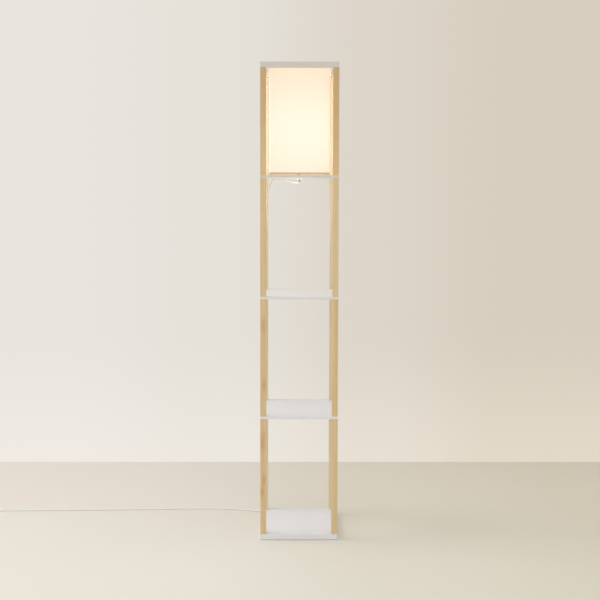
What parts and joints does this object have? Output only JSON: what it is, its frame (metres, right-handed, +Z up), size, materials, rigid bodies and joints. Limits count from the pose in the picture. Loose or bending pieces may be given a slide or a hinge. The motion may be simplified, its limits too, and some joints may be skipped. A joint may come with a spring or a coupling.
{
  "type": "floor lamp",
  "caption": "Tall square open shelf tower of wooden posts and white boards with a fabric-shaded lamp in its top bay, switched by a pull chain.",
  "frame": {"origin": "on the floor under the middle of the base", "axes": "+Z up, -Y to the front (the pull chain is in front of the lamp holder), +X to the right"},
  "size_m": [1.3749, 0.358, 1.6],
  "materials": {
    "pine": "clear lacquer, satin",
    "white_paint": "white paint, satin",
    "pad_felt": "matte",
    "zinc_steel": "zinc plated",
    "shade_fabric": "plain weave on a stiff backing",
    "hem_fabric": "folded cloth tape",
    "wire_steel": "white powder coat",
    "holder_plastic": "satin",
    "brass": "satin",
    "nut_plastic": "satin",
    "chain_nickel": "polished",
    "bell_metal": "dark bronze, satin",
    "bulb_contact": "tinned",
    "bulb_cap_metal": "satin",
    "bulb_plastic": "satin",
    "bulb_diffuser": "frosted",
    "cord_white": "satin vinyl",
    "tie_plastic": "satin",
    "plug_plastic": "satin",
    "blade_brass": "nickel plated",
    "clip_plastic": "satin"
  },
  "bodies": {
    "lamp": {"base_board": "white_paint", "lower_shelf": "white_paint", "middle_shelf": "white_paint", "lamp_shelf": "white_paint", "top_frame": "white_paint", "foot_pads": "pad_felt", "post_inserts": "zinc_steel", "top_frame_inserts": "zinc_steel", "base_bolts": "zinc_steel", "lower_shelf_studs": "zinc_steel", "middle_shelf_studs": "zinc_steel", "lamp_shelf_studs": "zinc_steel", "top_frame_studs": "zinc_steel", "shade_panel": "shade_fabric", "shade_upper_hem": "hem_fabric", "shade_lower_hem": "hem_fabric", "shade_upper_frame": "wire_steel", "shade_lower_frame": "wire_steel", "lamp_holder": "holder_plastic", "shade_clamp_ring": "holder_plastic", "screw_shell": "brass", "centre_contact": "brass", "holder_nipple": "zinc_steel", "nipple_nut": "nut_plastic", "chain_horn": "brass", "chain_grommet": "nut_plastic", "bulb_tip": "bulb_contact", "bulb_cap": "bulb_cap_metal", "bulb_body": "bulb_plastic", "bulb_globe": "bulb_diffuser", "lead": "cord_white", "floor_cord": "cord_white", "cord_coil": "cord_white", "coil_tie": "tie_plastic", "plug_body": "plug_plastic", "plug_blades": "blade_brass", "lead_clips": "clip_plastic", "clip_nails": "zinc_steel", "front_left_post_lower": "pine", "front_left_post_middle": "pine", "front_left_post_upper": "pine", "front_left_post_shade": "pine", "front_right_post_lower": "pine", "front_right_post_middle": "pine", "front_right_post_upper": "pine", "front_right_post_shade": "pine", "rear_left_post_lower": "pine", "rear_left_post_middle": "pine", "rear_left_post_upper": "pine", "rear_left_post_shade": "pine", "rear_right_post_lower": "pine", "rear_right_post_middle": "pine", "rear_right_post_upper": "pine", "rear_right_post_shade": "pine"},
    "pull_chain": {"bead_chain": "chain_nickel", "chain_bell": "bell_metal"}
  },
  "joints": [
    {"name": "chain_pull", "type": "slide", "parent": "lamp", "child": "pull_chain", "axis": [0, 0, -1], "range_m": [0, 0.008], "stiffness_N_per_m": 400}
  ]
}
